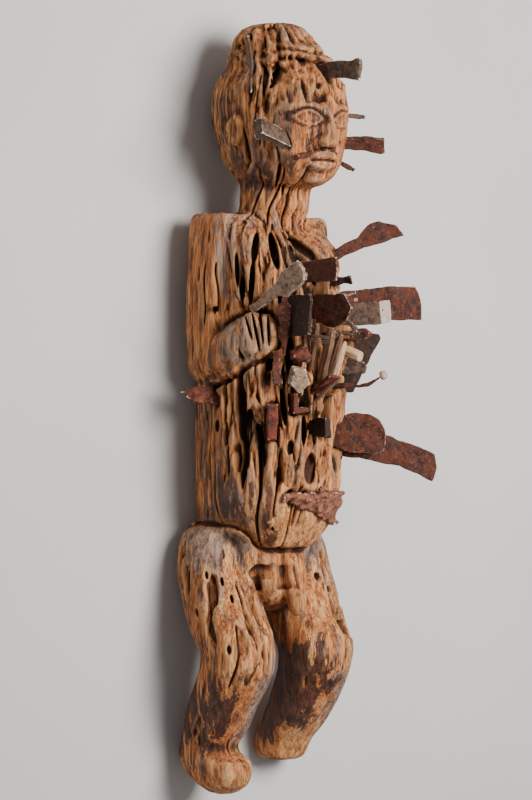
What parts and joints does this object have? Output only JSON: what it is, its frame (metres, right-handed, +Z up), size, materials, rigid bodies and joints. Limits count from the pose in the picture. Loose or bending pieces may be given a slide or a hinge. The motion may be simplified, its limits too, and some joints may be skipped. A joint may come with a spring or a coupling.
{
  "type": "carved power figure",
  "caption": "Carved hardwood male figure, weathered along the grain, with iron blades, plates, nails and wooden splints driven into it. Lies on its back.",
  "frame": {"origin": "bottom centre of the bounding box, on the plane the figure lies on", "axes": "+Y toward the head, +Z up out of the figure's front, +X toward the figure's left side"},
  "size_m": [0.3135, 1, 0.2498],
  "materials": {
    "wood": "weathered hardwood, open grain, worn dark patina",
    "pale_wood": "pale weathered wood",
    "lashing": "dark twisted fibre cord",
    "rust_iron": "red-brown rusted forged iron",
    "dark_iron": "dark oxidised forged iron",
    "grey_iron": "grey worn forged iron",
    "pitted_iron": "pale encrusted pitted iron",
    "knob": "pale smooth knob"
  },
  "bodies": {
    "root": {"carved_figure": "wood", "forehead_bar": "grey_iron", "temple_leaf_blade": "grey_iron", "cheek_chisel": "grey_iron", "temple_nail": "grey_iron", "cheek_wedge": "rust_iron", "jaw_nail": "rust_iron", "cheek_nail": "rust_iron", "shoulder_fan_blade": "rust_iron", "pitted_flared_bar": "pitted_iron", "square_plate": "rust_iron", "breast_chip": "dark_iron", "leaf_spike": "rust_iron", "broad_blade": "dark_iron", "clipped_plate": "rust_iron", "folded_strap": "pitted_iron", "holed_plate": "grey_iron", "large_blade": "rust_iron", "breast_nail": "pitted_iron", "hooked_bar": "rust_iron", "splint_broad": "wood", "splint_left": "wood", "splint_pale": "pale_wood", "splint_right": "wood", "bundle_lashing": "lashing", "thin_splinter": "wood", "bundle_wrap": "rust_iron", "coiled_strip": "rust_iron", "round_peg": "pale_wood", "triangular_blade": "dark_iron", "small_pale_plate": "pitted_iron", "curved_nail": "rust_iron", "pale_wedge": "pitted_iron", "crumpled_lump": "rust_iron", "thick_plate": "rust_iron", "angle_bracket": "rust_iron", "short_bar": "dark_iron", "rounded_blade": "rust_iron", "long_curved_blade": "rust_iron", "elbow_plate": "rust_iron", "belly_strip": "rust_iron", "nail_knob": "knob"}
  },
  "joints": []
}
